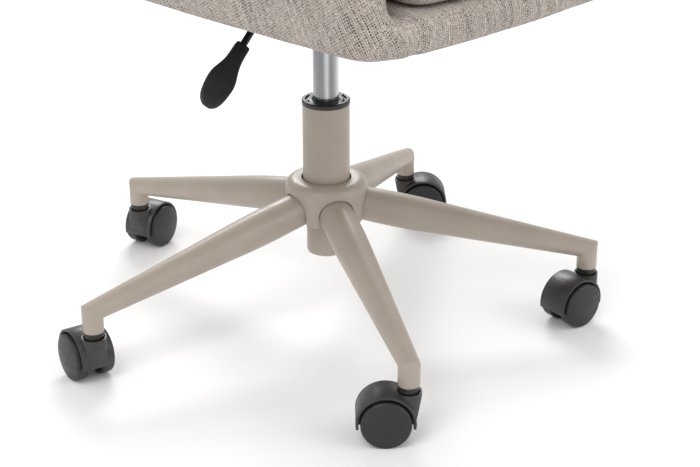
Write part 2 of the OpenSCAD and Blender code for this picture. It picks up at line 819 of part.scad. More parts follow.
// The bent wire, in a frame whose Z runs along its inner part towards the handle
module lever_wire() {
    cylinder(h = inner_l, r = lever_rod_r);
    translate([0, 0, inner_l]) {
        sphere(r = lever_rod_r + bend_swell);
        rotate([0, root_slope - lever_slope, 0]) cylinder(h = outer_l, r = lever_rod_r);
    }
}

module lever_rod() {
    color(black_plastic) at_lever() difference() {
        union() {
            translate([lever_past, 0, lever_z + lever_past * tan(root_slope)])
                rotate([0, -90 - root_slope, 0]) lever_wire();
            translate([-pivot_x, eye_w / 2, pivot_z]) rotate([90, 0, 0]) cylinder(h = eye_w, r = eye_r);
        }
        translate([-pivot_x, 30, pivot_z]) rotate([90, 0, 0]) cylinder(h = 60, r = pin_r + run_gap);
    }
}

module lever_handle() {
    color(black_plastic) at_lever() translate([-neck_x, 0, neck_z]) rotate([0, 180 - lever_slope, 0])
        rotate([handle_roll, 0, 0]) difference() {
            union() {
                intersection() {
                    translate([0, 0, -handle_t / 2]) linear_extrude(handle_t) union() {
                        polygon([[0, -neck_w / 2], [handle_l * 0.4, -handle_w / 2],
                                 [handle_l - handle_w / 2, -handle_w / 2],
                                 [handle_l - handle_w / 2, handle_w / 2],
                                 [handle_l * 0.4, handle_w / 2], [0, neck_w / 2]]);
                        translate([handle_l - handle_w / 2, 0]) circle(r = handle_w / 2);
                    }
                    translate([-1, 0, 0]) rotate([0, 90, 0]) cylinder(h = handle_l + 2, r = handle_w);
                }
                rotate([0, 90, 0]) cylinder(h = 26, r1 = lever_rod_r + 2.4, r2 = lever_rod_r + 1);
            }
            translate([-1, 0, 0]) rotate([0, 90, 0]) cylinder(h = handle_socket + 1, r = lever_rod_r);
        }
}

module release_pin() {
    color(zinc) translate([0, 0, cylinder_z1 - valve_h + release_travel + 1])
        cylinder(h = release_z1 - cylinder_z1 + valve_h - release_travel - 1, r = release_r);
}

// ---------- casters ----------

// Caster frame: Z is the stem, X points the way the wheels trail
module at_caster(i) {
    at_tip(i) rotate([0, 0, caster_turns[i] - leg_turn - i * 360 / leg_count]) children();
}

// Places children on the axle, with Z along it
module on_axle() {
    translate([trail, 0, axle_z]) rotate([-90, 0, 0]) children();
}

// Ring-shaped pocket in the boss's top, crossed by thin ribs, that leaves a seat for the stem's collar
module boss_pocket() {
    rib_t = 1.2;
    difference() {
        translate([0, 0, boss_z1 - boss_recess]) cylinder(h = boss_recess + 1, r = boss_r - boss_rim_t);
        translate([0, 0, boss_z1 - boss_recess - 1]) cylinder(h = boss_recess + 3, r = boss_seat_r);
        for (k = [0:boss_ribs - 1]) rotate([0, 0, (k + 0.5) * 360 / boss_ribs])
            translate([0, -rib_t / 2, boss_z1 - boss_recess - 1])
                cube([boss_r, rib_t, boss_recess]);
    }
}

module caster_hood(i) {
    color(grey_plastic) at_caster(i) difference() {
        union() {
            intersection() {
                on_axle() translate([0, 0, -hood_w / 2]) cylinder(h = hood_w, r = hood_r, $fn = 96);
                translate([-100, -100, hood_z0]) cube([200, 200, 100]);
            }
            intersection() {
                translate([0, 0, hood_z0]) cylinder(h = boss_z1 - hood_z0, r = boss_r);
                rotate([90, 0, 0]) translate([0, 0, -boss_r]) linear_extrude(2 * boss_r)
                    polygon([[-boss_r, boss_z1], [-boss_r, boss_z1 - 2], [trail - hood_r + 1.5, hood_z0],
                             [trail, hood_z0], [trail, boss_z1]]);
            }
        }
        for (s = [-1, 1]) on_axle()
            translate([0, 0, s > 0 ? web_w / 2 : -web_w / 2 - caster_w])
                cylinder(h = caster_w, r = pocket_r, $fn = 96);
        boss_pocket();
        translate([0, 0, boss_z0]) cylinder(h = 40, r = stem_r + run_gap);
        translate([0, 0, stem_z0 - 1]) cylinder(h = boss_z0 - stem_z0 + 1 + eps, r = snap_ring_r + snap_gap);
        on_axle() translate([0, 0, -web_w]) cylinder(h = 2 * web_w, r = axle_r);
    }
}

module caster_axle(i) {
    color(zinc) at_caster(i) on_axle() translate([0, 0, -axle_half])
        cylinder(h = 2 * axle_half, r = axle_r);
}

// Half section of a wheel: X is the radius, Y the distance out along the axle
module wheel_section() {
    rim_out = wheel_out - wheel_dome;
    face_r = wheel_r - wheel_edge_r;
    bore = axle_r + run_gap;
    polygon(concat(
        [[bore, wheel_in], [hub_boss_r, wheel_in], [hub_boss_r, rim_out - wheel_face_t],
         [wheel_r - tyre_t, rim_out - wheel_face_t - 1], [wheel_r - tyre_t, wheel_in],
         [wheel_r - 1, wheel_in], [wheel_r, wheel_in + 1]],
        [for (a = [0:18:72]) [face_r + wheel_edge_r * cos(a), rim_out - wheel_edge_r * (1 - sin(a))]],
        [for (k = [0:5]) let (r = face_r * (1 - k / 6)) [r, rim_out + wheel_dome * (1 - pow(r / face_r, 2))]],
        [[0, wheel_out], [0, axle_half + 0.3], [bore, axle_half + 0.3]]));
}

module caster_wheel(i, side) {
    color(grey_plastic) at_caster(i) on_axle() rotate([side > 0 ? 0 : 180, 0, 0])
        rotate_extrude($fn = 96) wheel_section();
}

// ---------- output ----------

hub_tube();
for (i = [0:leg_count - 1])
    leg(i);
hub_cover();
column_tube();
column_bush();
bearing_race_lower();
stem_sleeves();
caster_stems();
stem_rings();
piston_rod();
piston_head();
rod_clip();
bump_stop();
bearing_balls();
bearing_race_upper();
gas_cylinder();
cylinder_gland();
taper_socket();
seat_plate();
lever_bracket();
lever_pin();
seat_bolts();
bolt_washers();
tee_nuts();
seat_board();
dust_cover();
tub_frame();
tub_upholstery();
seat_rail();
seat_cushion();
lever_rod();
lever_handle();
release_pin();
for (i = [0:leg_count - 1]) {
    caster_hood(i);
    caster_axle(i);
    caster_wheel(i, 1);
    caster_wheel(i, -1);
}
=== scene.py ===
"""Swivel tub chair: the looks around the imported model. Everything is in metres, sitter facing -Y."""
import bpy
import bmesh
import math
import numpy as np
from mathutils import Matrix, Vector, kdtree, noise
from mathutils.bvhtree import BVHTree


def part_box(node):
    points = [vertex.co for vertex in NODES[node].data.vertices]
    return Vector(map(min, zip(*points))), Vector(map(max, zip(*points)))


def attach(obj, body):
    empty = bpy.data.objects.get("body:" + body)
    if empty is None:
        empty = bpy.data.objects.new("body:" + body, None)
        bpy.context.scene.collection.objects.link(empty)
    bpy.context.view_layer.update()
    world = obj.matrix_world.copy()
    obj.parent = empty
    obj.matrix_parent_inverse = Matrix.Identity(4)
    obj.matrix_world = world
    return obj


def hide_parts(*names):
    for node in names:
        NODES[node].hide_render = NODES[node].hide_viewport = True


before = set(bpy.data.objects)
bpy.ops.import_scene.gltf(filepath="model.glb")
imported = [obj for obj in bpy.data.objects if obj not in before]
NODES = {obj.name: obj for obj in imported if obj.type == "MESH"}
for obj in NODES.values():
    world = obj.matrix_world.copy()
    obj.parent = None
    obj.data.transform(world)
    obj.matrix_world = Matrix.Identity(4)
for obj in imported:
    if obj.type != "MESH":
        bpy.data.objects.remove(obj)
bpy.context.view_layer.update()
scene = bpy.context.scene
MM = 0.001

# ---------------------------------------------------------------- camera, light, floor


def make_camera():
    place = Vector((-1.2038, -1.1725, 0.8397))
    heading = math.radians(-45.756 + 180 - 0.873)
    dip = math.radians(23.872)
    look = Vector((math.sin(heading) * math.cos(dip), -math.cos(heading) * math.cos(dip), -math.sin(dip)))
    data = bpy.data.cameras.new("camera")
    data.lens = 85.82
    data.sensor_width = 36
    camera = bpy.data.objects.new("camera", data)
    camera.matrix_world = Matrix.Translation(place) @ look.to_track_quat("-Z", "Y").to_matrix().to_4x4()
    scene.collection.objects.link(camera)
    scene.camera = camera


def area_light(name, place, target, size, watts, colour=(1, 1, 1)):
    data = bpy.data.lights.new(name, "AREA")
    data.shape = "RECTANGLE"
    data.size, data.size_y = size
    data.energy = watts
    data.color = colour
    light = bpy.data.objects.new(name, data)
    aim = (Vector(target) - Vector(place)).to_track_quat("-Z", "Y")
    light.matrix_world = Matrix.Translation(place) @ aim.to_matrix().to_4x4()
    scene.collection.objects.link(light)


def make_studio():
    world = bpy.data.worlds.new("studio")
    world.use_nodes = True
    world.node_tree.nodes["Background"].inputs["Color"].default_value = (1, 1, 1, 1)
    world.node_tree.nodes["Background"].inputs["Strength"].default_value = 0.68
    scene.world = world
    scene.view_settings.view_transform = "Standard"
    area_light("key", (-2.2, -0.6, 2.6), (0, 0, 0.3), (1.6, 1.6), 40)
    area_light("fill", (1.2, -2.6, 1.6), (0, 0, 0.25), (2.0, 1.4), 22)
    area_light("rim", (1.5, 1.7, 1.7), (0, 0, 0.2), (1.4, 0.9), 46)
    mesh = bpy.data.meshes.new("floor")
    reach = 30
    mesh.from_pydata([(-reach, -reach, 0), (reach, -reach, 0), (reach, reach, 0), (-reach, reach, 0)],
                     [], [(0, 1, 2, 3)])
    floor = bpy.data.objects.new("floor", mesh)
    scene.collection.objects.link(floor)
    pale = bpy.data.materials.new("pale_floor")
    pale.use_nodes = True
    shader = pale.node_tree.nodes["Principled BSDF"]
    shader.inputs["Base Color"].default_value = (0.92, 0.92, 0.92, 1)
    shader.inputs["Roughness"].default_value = 0.9
    shader.inputs["Specular IOR Level"].default_value = 0.1
    mesh.materials.append(pale)


make_camera()
make_studio()

# ---------------------------------------------------------------- materials


class Finish:
    """A material and short ways to add and join its nodes."""

    def __init__(self, name, colour, rough, metal=0.0, specular=0.5):
        self.material = bpy.data.materials.new(name)
        self.material.use_nodes = True
        self.tree = self.material.node_tree
        self.shader = self.tree.nodes["Principled BSDF"]
        self.shader.inputs["Base Color"].default_value = (*colour, 1)
        self.shader.inputs["Roughness"].default_value = rough
        self.shader.inputs["Metallic"].default_value = metal
        self.shader.inputs["Specular IOR Level"].default_value = specular

    def add(self, kind, **inputs):
        node = self.tree.nodes.new(kind)
        for key, value in inputs.items():
            if hasattr(node, key):
                setattr(node, key, value)
            else:
                self.feed(node.inputs[key.replace("_", " ")], value)
        return node

    def feed(self, socket, value):
        if isinstance(value, bpy.types.NodeSocket):
            self.tree.links.new(value, socket)
        elif socket.type == "RGBA" and len(value) == 3:
            socket.default_value = (*value, 1)
        else:
            socket.default_value = value

    def maths(self, operation, a, b=0.0, c=0.0):
        node = self.tree.nodes.new("ShaderNodeMath")
        node.operation = operation
        for socket, value in zip(node.inputs, (a, b, c)):
            self.feed(socket, value)
        return node.outputs[0]

    def blend(self, share, a, b):
        node = self.tree.nodes.new("ShaderNodeMix")
        node.data_type = "RGBA"
        self.feed(node.inputs["Factor"], share)
        self.feed(node.inputs[6], a)
        self.feed(node.inputs[7], b)
        return node.outputs[2]

    def ramp(self, value, low, high, to_low=0.0, to_high=1.0):
        node = self.tree.nodes.new("ShaderNodeMapRange")
        node.interpolation_type = "SMOOTHSTEP"
        for socket, number in zip(node.inputs, (value, low, high, to_low, to_high)):
            self.feed(socket, number)
        return node.outputs[0]

    def place(self, kind="Object", stretch=(1, 1, 1)):
        coordinates = self.tree.nodes.new("ShaderNodeTexCoord")
        mapping = self.tree.nodes.new("ShaderNodeMapping")
        mapping.inputs["Scale"].default_value = stretch
        self.tree.links.new(coordinates.outputs[kind], mapping.inputs["Vector"])
        return mapping.outputs[0]

    def noise(self, vector, scale, detail=3.0, rough=0.5):
        node = self.tree.nodes.new("ShaderNodeTexNoise")
        self.feed(node.inputs["Vector"], vector)
        node.inputs["Scale"].default_value = scale
        node.inputs["Detail"].default_value = detail
        node.inputs["Roughness"].default_value = rough
        return node.outputs["Fac"]

    def bump(self, height, strength, distance, before=None):
        node = self.tree.nodes.new("ShaderNodeBump")
        node.inputs["Strength"].default_value = strength
        node.inputs["Distance"].default_value = distance
        self.feed(node.inputs["Height"], height)
        if before:
            self.feed(node.inputs["Normal"], before)
        self.tree.links.new(node.outputs[0], self.shader.inputs["Normal"])
        return node.outputs[0]

    def colour(self, socket):
        self.feed(self.shader.inputs["Base Color"], socket)

    def roughness(self, socket):
        self.feed(self.shader.inputs["Roughness"], socket)


def powder_coat(name, colour, rough):
    f = Finish(name, colour, rough)
    where = f.place()
    cloud = f.noise(where, 14, 4)
    f.colour(f.blend(f.ramp(cloud, 0.3, 0.7), [c * 0.95 for c in colour], [c * 1.04 for c in colour]))
    f.roughness(f.ramp(f.noise(where, 60, 3), 0.2, 0.8, rough - 0.05, rough + 0.06))
    fine = f.noise(where, 1600, 2)
    orange_peel = f.noise(where, 420, 2)
    f.bump(f.maths("ADD", f.maths("MULTIPLY", fine, 0.5), orange_peel), 0.16, 0.0004)
    return f.material


def moulded_plastic(name, colour, rough, grain=900):
    f = Finish(name, colour, rough)
    where = f.place()
    cloud = f.noise(where, 25, 4)
    f.colour(f.blend(f.ramp(cloud, 0.3, 0.75), [c * 0.85 for c in colour], [c * 1.2 for c in colour]))
    scuff = f.noise(f.place(stretch=(1, 1, 5)), 45, 5, 0.65)
    f.roughness(f.ramp(scuff, 0.35, 0.75, rough - 0.06, rough + 0.1))
    f.bump(f.noise(where, grain, 2), 0.25, 0.0003)
    return f.material


def bright_steel(name, dark, light, rough, reflection_band_scale=0.0):
    """Bright metal. Its colour runs between dark and light in long soft stripes along Z, at reflection_band_scale
    (40 if none is given): painted reflection bands standing in for the studio reflected round a cylinder.
    """
    f = Finish(name, light, rough, metal=1.0)
    lines = f.noise(f.place(stretch=(1, 1, 0.05)), 900, 3)
    # painted reflection: soft dark and light bands along Z stand in for the reflected studio
    cloud = f.noise(f.place(stretch=(1, 1, 0.015)), reflection_band_scale or 40, 2, 0.6)
    f.colour(f.blend(f.ramp(cloud, 0.36, 0.62), dark, light))
    f.roughness(f.ramp(lines, 0.3, 0.7, rough - 0.05, rough + 0.07))
    f.bump(lines, 0.06, 0.0002)
    return f.material


def birch_ply():
    f = Finish("birch_ply", (0.55, 0.4, 0.24), 0.6)
    grain = f.noise(f.place(stretch=(1, 14, 1)), 22, 5, 0.6)
    plies = f.maths("SINE", f.maths("MULTIPLY", f.add("ShaderNodeSeparateXYZ", Vector=f.place()).outputs[2],
                                    2 * math.pi / (2.4 * MM)))
    wood = f.blend(f.ramp(grain, 0.3, 0.7), (0.42, 0.28, 0.15), (0.62, 0.46, 0.29))
    f.colour(f.blend(f.ramp(plies, -0.2, 0.4, 0.0, 0.35), wood, (0.30, 0.18, 0.09)))
    f.bump(grain, 0.2, 0.0005)
    return f.material


def nonwoven_lining():
    f = Finish("nonwoven_lining", (0.02, 0.02, 0.02), 0.9, specular=0.2)
    dimples = f.tree.nodes.new("ShaderNodeTexVoronoi")
    dimples.inputs["Scale"].default_value = 420
    f.feed(dimples.inputs["Vector"], f.place())
    f.colour(f.blend(f.ramp(dimples.outputs["Distance"], 0.1, 0.5), (0.035, 0.035, 0.036), (0.014, 0.014, 0.014)))
    f.bump(dimples.outputs["Distance"], 0.5, 0.0004)
    return f.material


def slub_weave(name, light, dark, fleck, strong, rib=0.3):
    """Upholstery cloth: crossed slub yarns on a staggered grid of dark flecks. strong is the share of rows with
    dark flecks, and rib is how far each row shades the yarn. The piece's UV map is in metres, with the rows
    running along V."""
    f = Finish(name, light, 0.85, specular=0.25)
    row_gap, dot_gap = 2.3 * MM, 2.4 * MM
    uv = f.tree.nodes.new("ShaderNodeUVMap").outputs[0]
    split = f.add("ShaderNodeSeparateXYZ", Vector=uv)
    u, v = split.outputs[0], split.outputs[1]

    def yarn_noise(across, along, detail=3):
        where = f.add("ShaderNodeCombineXYZ", X=f.maths("MULTIPLY", u, across), Y=f.maths("MULTIPLY", v, along))
        return f.noise(where.outputs[0], 1.0, detail, 0.6)

    wander = f.maths("MULTIPLY", f.maths("SUBTRACT", f.noise(uv, 30, 2), 0.5), 0.005)
    across = f.maths("DIVIDE", f.maths("ADD", u, wander), row_gap)
    row = f.maths("FLOOR", across)
    in_row = f.maths("SUBTRACT", f.maths("FRACT", across), 0.5)
    along = f.maths("ADD", f.maths("DIVIDE", v, dot_gap), f.maths("MULTIPLY", row, 0.5))
    in_dot = f.maths("SUBTRACT", f.maths("FRACT", along), 0.5)
    cell = f.add("ShaderNodeCombineXYZ", X=row, Y=f.maths("FLOOR", along)).outputs[0]
    luck = f.add("ShaderNodeTexWhiteNoise", noise_dimensions="2D", Vector=cell).outputs["Value"]
    row_luck = f.add("ShaderNodeTexWhiteNoise", noise_dimensions="1D", W=row).outputs["Value"]
    far = f.maths("SQRT", f.maths("ADD", f.maths("POWER", f.maths("MULTIPLY", in_row, 2.0), 2.0),
                                  f.maths("POWER", f.maths("MULTIPLY", in_dot, 2.1), 2.0)))
    dot = f.ramp(far, 0.46, 0.90, 1.0, 0.0)
    cluster = f.ramp(yarn_noise(60.0, 5.0, 2), 0.38, 0.60, 0.35, 1.0)
    dark_row = f.ramp(row_luck, 1 - strong, 1 - strong + 0.3)
    weight = f.maths("ADD", f.maths("MULTIPLY", f.maths("MULTIPLY", dark_row, cluster), 0.72), 0.38)
    weight = f.maths("MULTIPLY", weight, f.ramp(luck, 0.0, 0.6, 0.3, 1.0))
    patch = f.ramp(f.noise(uv, 26, 3), 0.34, 0.54, 0.5, 1.0)
    fleck_mask = f.maths("MULTIPLY", f.maths("MULTIPLY", dot, weight), patch)
    yarn = f.maths("ADD", f.maths("MULTIPLY", yarn_noise(260.0, 1000.0), 0.5),
                   f.maths("MULTIPLY", yarn_noise(1100.0, 170.0), 0.5))
    pale_row = f.maths("MULTIPLY", f.ramp(yarn_noise(330.0, 9.0, 2), 0.5, 0.75), 0.35)
    shade = f.ramp(f.noise(uv, 9, 3), 0.3, 0.7, -0.02, 0.10)
    tone = f.maths("ADD", f.maths("ADD", f.maths("MULTIPLY", f.ramp(yarn, 0.38, 0.62), 0.7), shade), pale_row)
    rib_wave = f.maths("SINE", f.maths("MULTIPLY", across, 2 * math.pi))
    tone = f.maths("ADD", tone, f.maths("MULTIPLY", rib_wave, 0.5 * rib))
    f.colour(f.blend(fleck_mask, f.blend(tone, dark, light), fleck))
    ribs = f.maths("MULTIPLY", f.maths("SINE", f.maths("MULTIPLY", u, 2 * math.pi / (1.15 * MM))),
                   f.maths("SINE", f.maths("MULTIPLY", v, 2 * math.pi / (1.2 * MM))))
    height = f.maths("SUBTRACT", f.maths("ADD", f.maths("MULTIPLY", yarn, 1.6), f.maths("MULTIPLY", ribs, 0.3)),
                     f.maths("MULTIPLY", fleck_mask, 1.5))
    f.bump(height, 0.6, 0.0008)
    f.shader.inputs["Sheen Weight"].default_value = 0.15
    f.shader.inputs["Sheen Roughness"].default_value = 0.5
    return f.material


def sewing_thread():
    f = Finish("sewing_thread", (0.42, 0.38, 0.34), 0.6)
    twist = f.noise(f.place(stretch=(1, 1, 3)), 2600, 2)
    f.colour(f.blend(f.ramp(twist, 0.3, 0.7), (0.34, 0.30, 0.27), (0.52, 0.47, 0.43)))
    f.bump(twist, 0.4, 0.0002)
    return f.material


TAUPE = powder_coat("taupe_powder_coat", (0.393, 0.336, 0.281), 0.37)
BLACK_COAT = powder_coat("black_powder_coat", (0.018, 0.018, 0.018), 0.45)
BUSH = moulded_plastic("black_nylon", (0.016, 0.016, 0.017), 0.38)
CASTER = moulded_plastic("caster_nylon", (0.033, 0.032, 0.030), 0.43, 700)
WHEEL = moulded_plastic("wheel_nylon", (0.016, 0.016, 0.0175), 0.46, 700)
PADDLE = moulded_plastic("lever_plastic", (0.016, 0.016, 0.015), 0.5, 1100)
RUBBER = moulded_plastic("stop_rubber", (0.02, 0.02, 0.02), 0.75, 600)
CHROME = bright_steel("polished_cylinder", (0.22, 0.225, 0.23), (0.56, 0.575, 0.585), 0.2, 80)
ZINC = bright_steel("zinc_plate", (0.38, 0.38, 0.39), (0.56, 0.56, 0.57), 0.34)
PLY = birch_ply()
LINING = nonwoven_lining()
TUB_CLOTH = slub_weave("tub_cloth", (0.76, 0.68, 0.615), (0.27, 0.228, 0.198), (0.016, 0.015, 0.014), 0.75, 0.25)
CUSHION_CLOTH = slub_weave("cushion_cloth", (0.74, 0.67, 0.61), (0.36, 0.315, 0.28), (0.10, 0.09, 0.08), 0.2, 0.9)
THREAD = sewing_thread()

# ---------------------------------------------------------------- carried-over nodes


def dress(names, material, round_mm=0.5):
    """Gives CAD nodes their finish, with a small rounding on sharp edges."""
    for name in names:
        node = NODES[name]
        node.data.materials.clear()
        node.data.materials.append(material)
        for polygon in node.data.polygons:
            polygon.use_smooth = True
        weld = node.modifiers.new("weld", "WELD")
        weld.merge_threshold = 0.00001
        if round_mm:
            bevel = node.modifiers.new("round", "BEVEL")
            bevel.width = round_mm * MM
            bevel.segments = 2
            bevel.limit_method = "ANGLE"
            bevel.angle_limit = math.radians(38)
            bevel.use_clamp_overlap = True
            bevel.harden_normals = True
        else:
            smooth_by_angle(node)


def smooth_by_angle(obj, degrees=38):
    for polygon in obj.data.polygons:
        polygon.use_smooth = True
    split = obj.modifiers.new("split", "EDGE_SPLIT")
    split.split_angle = math.radians(degrees)


LEGS = [f"leg_{i}" for i in range(1, 6)]
HOODS = [f"caster_{i}_hood" for i in range(1, 6)]
AXLES = [f"caster_{i}_axle" for i in range(1, 6)]
WHEELS = [f"caster_{i}_wheel_{side}" for i in range(1, 6) for side in ("left", "right")]
dress(LEGS, TAUPE, 0.9)
dress(["hub_tube"], TAUPE, 0.5)
dress(["column_tube"], TAUPE, 0)
dress(["hub_cover"], TAUPE, 0.4)
dress(["column_bush"], BUSH, 0.3)
dress(["stem_sleeves", "stem_rings"], BUSH, 0.3)
dress(["cylinder_gland"], BUSH, 0)
dress(["gas_cylinder"], CHROME, 0)
dress(["piston_rod", "release_pin"], ZINC, 0.2)
dress(["caster_stems"], BUSH, 0.2)
dress(["bearing_race_lower", "bearing_race_upper", "bearing_balls", "rod_clip", "piston_head"],
      ZINC, 0)
dress(["taper_socket", "lever_bracket", "lever_pin", "seat_bolts", "bolt_washers", "tee_nuts"], ZINC, 0.3)
dress(["seat_plate"], BLACK_COAT, 0.4)
dress(["bump_stop"], RUBBER, 0.5)
dress(["seat_board", "tub_frame"], PLY, 0)
dress(["dust_cover"], LINING, 0)
dress(HOODS, CASTER, 0.5)
dress(AXLES, ZINC, 0)
dress(WHEELS, WHEEL, 0.25)

# ---------------------------------------------------------------- mesh helpers


def new_object(name, vertices, faces, material=None):
    mesh = bpy.data.meshes.new(name)
    mesh.from_pydata([tuple(v) for v in vertices], [], faces)
    mesh.update()
    obj = bpy.data.objects.new(name, mesh)
    scene.collection.objects.link(obj)
    if material:
        mesh.materials.append(material)
    return obj


def skin(name, rings, material=None, cap=True):
    """Tube through rings of points, each ring closed, with a fan on each end."""
    count = len(rings[0])
    vertices = [p for ring in rings for p in ring]
    faces = []
    for i in range(len(rings) - 1):
        for j in range(count):
            k = (j + 1) % count
            faces.append((i * count + j, i * count + k, (i + 1) * count + k, (i + 1) * count + j))
    if cap:
        for ring, flip in ((0, True), (len(rings) - 1, False)):
            centre = sum((Vector(p) for p in rings[ring]), Vector()) / count
            vertices.append(centre)
            hub = len(vertices) - 1
            for j in range(count):
                a, b = ring * count + j, ring * count + (j + 1) % count
                faces.append((hub, b, a) if flip else (hub, a, b))
    obj = new_object(name, vertices, faces, material)
    outward(obj)
    return obj


def outward(obj):
    edit = bmesh.new()
    edit.from_mesh(obj.data)
    bmesh.ops.recalc_face_normals(edit, faces=edit.faces)
    edit.to_mesh(obj.data)
    edit.free()


def apply_modifiers(obj):
    """Replaces the object's mesh with its evaluated one and drops its modifiers."""
    graph = bpy.context.evaluated_depsgraph_get()
    mesh = bpy.data.meshes.new_from_object(obj.evaluated_get(graph))
    obj.modifiers.clear()
    obj.data = mesh


def shade_smooth(obj):
    obj.data.polygons.foreach_set("use_smooth", [True] * len(obj.data.polygons))


def merge(objects, name):
    """One object from several."""
    edit = bmesh.new()
    for obj in objects:
        edit.from_mesh(obj.data)
    mesh = bpy.data.meshes.new(name)
    edit.to_mesh(mesh)
    edit.free()
    for obj in objects:
        bpy.data.objects.remove(obj)
    joined = bpy.data.objects.new(name, mesh)
    scene.collection.objects.link(joined)
    return joined


def remesh(obj, size):
    voxels = obj.modifiers.new("remesh", "REMESH")
    voxels.mode = "VOXEL"
    voxels.voxel_size = size
    voxels.use_smooth_shade = True
    apply_modifiers(obj)


def soften(obj, turns, factor=0.5):
    smooth = obj.modifiers.new("soften", "SMOOTH")
    smooth.iterations = turns
    smooth.factor = factor
    apply_modifiers(obj)


def points_of(obj):
    flat = np.zeros(len(obj.data.vertices) * 3)
    obj.data.vertices.foreach_get("co", flat)
    return flat.reshape(-1, 3)


def set_points(obj, points):
    obj.data.vertices.foreach_set("co", points.ravel())
    obj.data.update()


def lay_out(obj, chart):
    """Writes the UV map. chart(points, centres, normals) gives U and V for each face corner, in metres."""
    mesh = obj.data
    loops = len(mesh.loops)
    vertex = np.zeros(loops, int)
    mesh.loops.foreach_get("vertex_index", vertex)
    totals = np.zeros(len(mesh.polygons), int)
    mesh.polygons.foreach_get("loop_total", totals)
    centres = np.zeros(len(mesh.polygons) * 3)
    mesh.polygons.foreach_get("center", centres)
    normals = np.zeros(len(mesh.polygons) * 3)
    mesh.polygons.foreach_get("normal", normals)
    face = np.repeat(np.arange(len(mesh.polygons)), totals)
    uv = chart(points_of(obj)[vertex], centres.reshape(-1, 3)[face], normals.reshape(-1, 3)[face])
    layer = mesh.uv_layers.new(name="cloth")
    layer.data.foreach_set("uv", np.ascontiguousarray(uv, dtype=np.float32).ravel())


# ---------------------------------------------------------------- tub

HALF_W = 0.244
WALL_T = 0.050
FOOT_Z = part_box("seat_rail")[0].z
RAIL_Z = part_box("seat_rail")[1].z
BACK_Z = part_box("tub_upholstery")[1].z
ARM_FRONT = -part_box("tub_upholstery")[0].y + 0.001
RAIL_FRONT = -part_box("seat_rail")[0].y
ARM_BACK = 0.020
BACK_DEPTH = 0.236
ARM_Z_FRONT = 0.640
ARM_Z_BACK = 0.672
LEAN = 0.052
FRONT_SLOPE = 0.084
CROWN = 1.2
CORNER_R = 0.048
FOOT_EDGE_R = 0.016
RAIL_EDGE_R = 0.010
FRONT_DROP = 0.0048
SIDE_DROP = 0.0028
FRONT_SWELL = 0.005
MID_W = HALF_W - WALL_T / 2
MID_BACK = BACK_DEPTH - WALL_T / 2 - ARM_BACK


def smooth_step(x):
    x = min(1.0, max(0.0, x))
    return x * x * (3 - 2 * x)


def lean_share(z):
    return (z - FOOT_Z) / (BACK_Z - FOOT_Z)


def wall_top(kind, along, cap=0.0):
    if kind == 0:
        return ARM_Z_BACK + (BACK_Z - ARM_Z_BACK) * smooth_step(CROWN * (1 - abs(2 * along - 1)))
    return (ARM_Z_FRONT + (ARM_Z_BACK - ARM_Z_FRONT) * along ** 1.5
            - 0.026 * max(0.0, 1 - 4 * along) ** 2 - 0.012 * cap)


def wall_out(kind, along):
    if kind:
        return Vector((kind, 0, 0))
    turn = math.pi * (1 - along)
    return Vector((math.cos(turn) / MID_W, math.sin(turn) / MID_BACK, 0)).normalized()


def wall_middle(kind, along, z, cap=0.0):
    if kind == 0:
        turn = math.pi * (1 - along)
        return Vector((MID_W * math.cos(turn), ARM_BACK + MID_BACK * math.sin(turn), z))
    start = -ARM_FRONT + WALL_T / 2 * (1 - cap) + FRONT_SLOPE * max(0.0, lean_share(z)) ** 1.5
    return Vector((kind * MID_W, start + (ARM_BACK - start) * along, z))


def wall_point(kind, along, offset, z, cap=0.0):
    return wall_middle(kind, along, z, cap) + wall_out(kind, along) * (offset + LEAN * lean_share(z))


def wall_stations(arm_steps, arc_steps, caps):
    right = [(-1, 0, cap) for cap in caps] + [(-1, i / arm_steps, 0) for i in range(1, arm_steps + 1)]
    back = [(0, i / arc_steps, 0) for i in range(1, arc_steps)]
    left = [(1, along, cap) for _, along, cap in reversed(right)]
    return right + back + left


def tub_wall():
    """Padded wall swept round the seat."""
    rings = []
    caps = [math.sin(math.radians(a)) for a in (85, 72, 60, 48, 36, 24, 12, 0)]
    for kind, along, cap in wall_stations(22, 96, caps):
        top = wall_top(kind, along, cap)
        share = math.sqrt(max(0.0, 1 - cap * cap))
        half = WALL_T / 2
        ring = [(0.55, FOOT_Z)]
        side = [FOOT_Z + 0.008 + (top - half - FOOT_Z - 0.008) * k / 12 for k in range(12)]
        ring += [(1.0, z) for z in side]
        ring += [(math.cos(a), top - half + half * math.sin(a)) for a in
                 (math.radians(t) for t in range(0, 181, 15))]
        ring += [(-1.0, z) for z in reversed(side)]
        ring += [(-0.55, FOOT_Z)]
        rings.append([wall_point(kind, along, o * half * share, z, cap) for o, z in ring])
    return skin("tub_wall", rings)


def rounded_outline(half_x, front, back, radius, steps=10):
    """Closed outline of the seat's foot: square front with round corners, half-ellipse back."""
    radius = max(radius, 0.004)
    outline = []
    for centre_x, start in ((-half_x + radius, 180), (half_x - radius, 270)):
        for k in range(steps + 1):
            turn = math.radians(start + 90 * k / steps)
            outline.append((centre_x + radius * math.cos(turn), -front + radius + radius * math.sin(turn)))
    for k in range(1, 40):
        turn = math.pi * k / 40
        outline.append((half_x * math.cos(turn), ARM_BACK + (back - ARM_BACK) * math.sin(turn)))
    return outline


def seat_foot():
    """Upholstered slab under the wall, with round lower and upper edges."""
    low_r, high_r = FOOT_EDGE_R, RAIL_EDGE_R
    rings = []
    for k in range(7):
        turn = math.radians(15 * k)
        rings.append((low_r * (1 - math.sin(turn)), FOOT_Z + low_r * (1 - math.cos(turn))))
    for k in range(7):
        turn = math.radians(15 * k)
        rings.append((high_r * (1 - math.cos(turn)), RAIL_Z - high_r * (1 - math.sin(turn))))
    loops = []
    for inset, z in rings:
        outline = rounded_outline(HALF_W - inset, RAIL_FRONT - inset, BACK_DEPTH - inset, CORNER_R - inset)
        loops.append([Vector((x, y, z)) for x, y in outline])
    return skin("seat_foot", loops)


